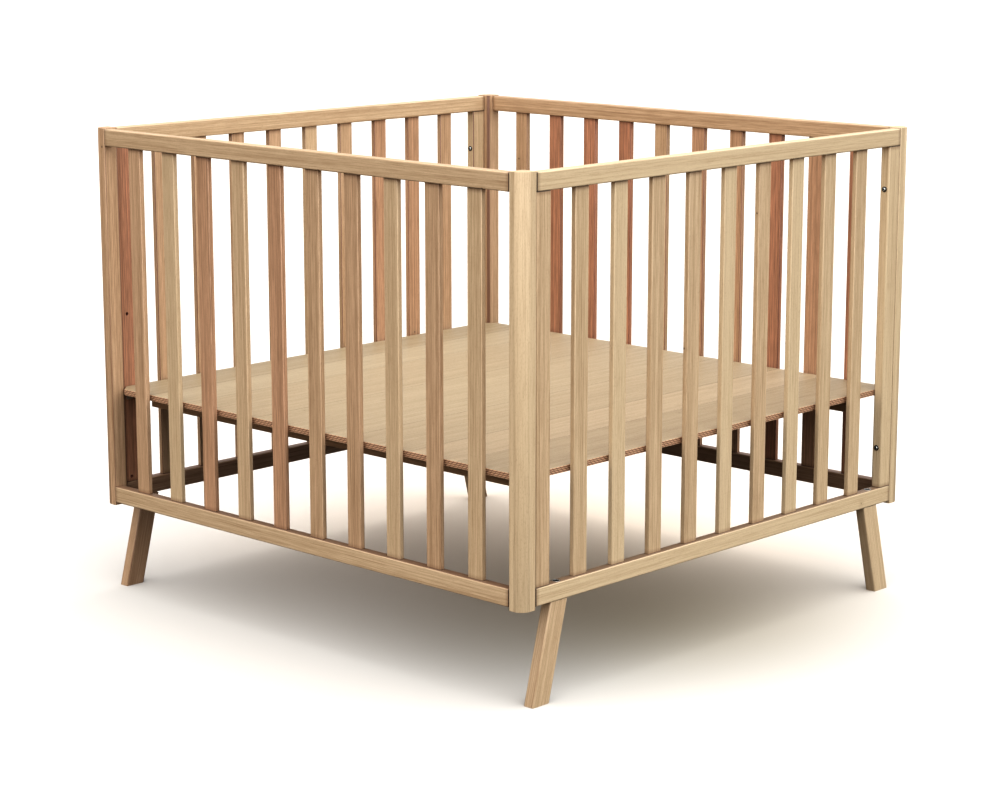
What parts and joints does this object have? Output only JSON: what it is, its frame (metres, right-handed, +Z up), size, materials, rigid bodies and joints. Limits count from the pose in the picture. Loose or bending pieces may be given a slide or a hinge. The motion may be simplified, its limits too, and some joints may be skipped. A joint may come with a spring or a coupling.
{
  "type": "wooden playpen",
  "caption": "Square wooden playpen: corner posts, barred panels between rounded rails, splayed legs and a plywood floor that sets at different heights.",
  "frame": {"origin": "on the ground under the middle of the pen", "axes": "+X along the front panel toward the right panel, +Y from the front panel to the back panel, +Z up"},
  "size_m": [1.03, 1, 0.835],
  "materials": {
    "post_beech": "satin varnish",
    "rail_beech": "satin varnish",
    "slat_beech": "satin varnish",
    "leg_beech": "satin varnish",
    "floor_plywood": "satin varnish",
    "batten_beech": "matt",
    "zinc_steel": "zinc plated"
  },
  "bodies": {
    "frame": {"front_bottom_rail": "rail_beech", "front_top_rail": "rail_beech", "front_slat_01": "slat_beech", "front_slat_02": "slat_beech", "front_slat_03": "slat_beech", "front_slat_04": "slat_beech", "front_slat_05": "slat_beech", "front_slat_06": "slat_beech", "front_slat_07": "slat_beech", "front_slat_08": "slat_beech", "front_slat_09": "slat_beech", "front_slat_10": "slat_beech", "back_bottom_rail": "rail_beech", "back_top_rail": "rail_beech", "back_slat_01": "slat_beech", "back_slat_02": "slat_beech", "back_slat_03": "slat_beech", "back_slat_04": "slat_beech", "back_slat_05": "slat_beech", "back_slat_06": "slat_beech", "back_slat_07": "slat_beech", "back_slat_08": "slat_beech", "back_slat_09": "slat_beech", "back_slat_10": "slat_beech", "left_top_rail": "rail_beech", "left_bottom_rail_with_slats": "rail_beech", "post_front_left": "post_beech", "left_stile_front": "rail_beech", "leg_front_left": "leg_beech", "leg_bolt_front_left": "zinc_steel", "left_panel_bolt_front_lower": "zinc_steel", "left_panel_bolt_front_upper": "zinc_steel", "post_back_left": "post_beech", "left_stile_back": "rail_beech", "leg_back_left": "leg_beech", "leg_bolt_back_left": "zinc_steel", "left_panel_bolt_back_lower": "zinc_steel", "left_panel_bolt_back_upper": "zinc_steel", "right_top_rail": "rail_beech", "right_bottom_rail_with_slats": "rail_beech", "post_front_right": "post_beech", "right_stile_front": "rail_beech", "leg_front_right": "leg_beech", "leg_bolt_front_right": "zinc_steel", "right_panel_bolt_front_lower": "zinc_steel", "right_panel_bolt_front_upper": "zinc_steel", "post_back_right": "post_beech", "right_stile_back": "rail_beech", "leg_back_right": "leg_beech", "leg_bolt_back_right": "zinc_steel", "right_panel_bolt_back_lower": "zinc_steel", "right_panel_bolt_back_upper": "zinc_steel"},
    "floor": {"floor_bracket_front_left": "zinc_steel", "floor_bracket_back_left": "zinc_steel", "floor_bracket_front_right": "zinc_steel", "floor_bracket_back_right": "zinc_steel", "floor_batten_front": "batten_beech", "floor_batten_back": "batten_beech", "floor_board": "floor_plywood"}
  },
  "joints": [
    {"name": "floor_height", "type": "slide", "parent": "frame", "child": "floor", "axis": [0, 0, 1], "range_m": [-0.149, 0.149]}
  ]
}
